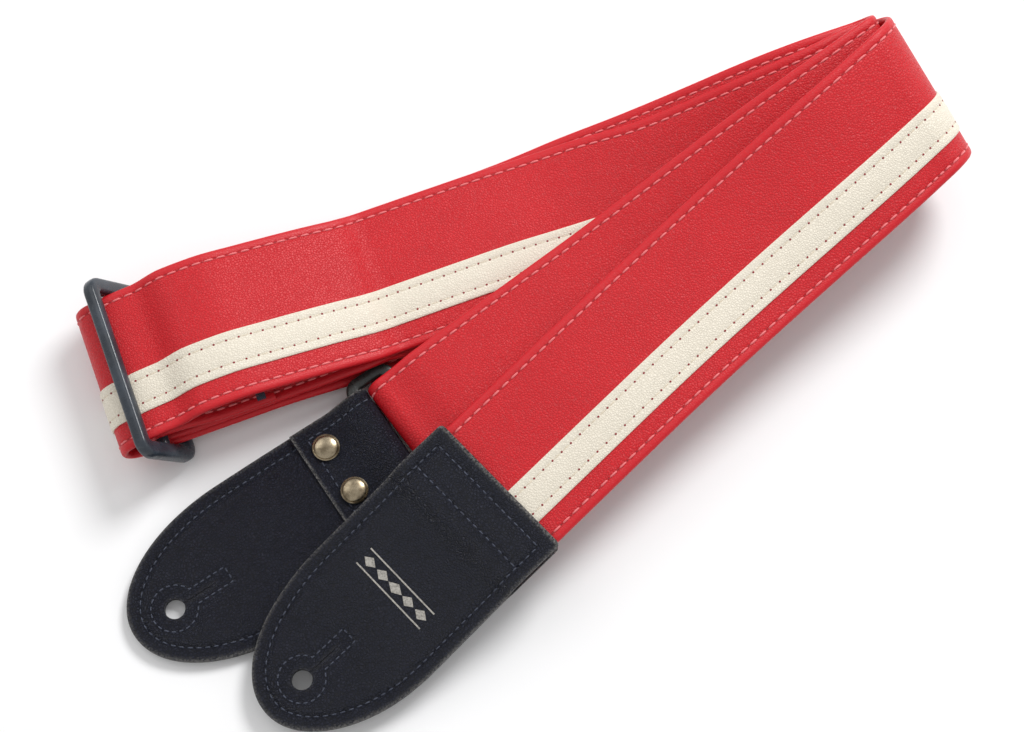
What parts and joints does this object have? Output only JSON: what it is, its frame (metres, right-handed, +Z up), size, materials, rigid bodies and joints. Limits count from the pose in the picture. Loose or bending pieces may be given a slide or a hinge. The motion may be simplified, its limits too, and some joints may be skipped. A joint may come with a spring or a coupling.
{
  "type": "guitar strap",
  "caption": "Guitar strap in grained vinyl with an off-centre contrast stripe, folded in a flat zigzag, with leather keyhole end tabs, a riveted ring loop and a plastic length slider",
  "frame": {"origin": "Middle of the base of the bounding box of the folded strap as it lies on a table.", "axes": "+X to the right along the folded strap's longest extent, +Y away from the viewer, +Z up off the table."},
  "size_m": [0.2908, 0.231, 0.047],
  "materials": {
    "red_vinyl": "grained semi-gloss vinyl",
    "cream_vinyl": "grained semi-gloss vinyl",
    "black_leather": "grained satin leather with cut edges",
    "slider_plastic": "moulded satin plastic",
    "ring_plastic": "moulded satin plastic",
    "aged_brass": "antique domed rivet caps"
  },
  "bodies": {
    "strap": {"front_run": "red_vinyl", "front_run_stripe": "cream_vinyl", "outer_fold": "red_vinyl", "outer_fold_stripe": "cream_vinyl", "bottom_run": "red_vinyl", "bottom_run_stripe": "cream_vinyl", "slider_turn": "red_vinyl", "slider_turn_stripe": "cream_vinyl", "top_run": "red_vinyl", "top_run_stripe": "cream_vinyl", "inner_fold": "red_vinyl", "inner_fold_stripe": "cream_vinyl", "lower_middle_run": "red_vinyl", "lower_middle_run_stripe": "cream_vinyl", "ring_turn": "red_vinyl", "ring_turn_stripe": "cream_vinyl", "upper_middle_run": "red_vinyl", "upper_middle_run_stripe": "cream_vinyl", "middle_fold": "red_vinyl", "middle_fold_stripe": "cream_vinyl", "fixed_run": "red_vinyl", "fixed_run_stripe": "cream_vinyl"},
    "slider": {"slider": "slider_plastic", "end_loop": "red_vinyl"},
    "ring": {"ring": "ring_plastic"},
    "rear_tab": {"rear_tab_top": "black_leather", "rear_tab_bottom": "black_leather", "rear_loop_strip": "black_leather", "rivet_1": "aged_brass", "rivet_2": "aged_brass", "rivet_3": "aged_brass"},
    "front_tab": {"front_tab_top": "black_leather", "front_tab_bottom": "black_leather", "front_end": "red_vinyl", "front_end_stripe": "cream_vinyl"}
  },
  "joints": [
    {"name": "slider_adjust", "type": "slide", "parent": "strap", "child": "slider", "axis": [0.9354, 0.3535, 0], "range_m": [0, 0.008], "deforming": ["fixed_run", "fixed_run_stripe"]},
    {"name": "ring_swing", "type": "hinge", "parent": "strap", "child": "ring", "pos_m": [-0.02921, -0.02242, 0.00658], "axis": [-0.5563, 0.831, 0], "range_deg": [-2, 0]},
    {"name": "rear_tab_swing", "type": "hinge", "parent": "ring", "child": "rear_tab", "pos_m": [-0.04026, -0.02982, 0.00658], "axis": [-0.5563, 0.831, 0], "range_deg": [-60, 0]},
    {"name": "front_tab_lift", "type": "hinge", "parent": "strap", "child": "front_tab", "pos_m": [-0.00776, -0.04097, 0.02127], "axis": [-0.6909, 0.723, 0], "range_deg": [0, 60]}
  ]
}
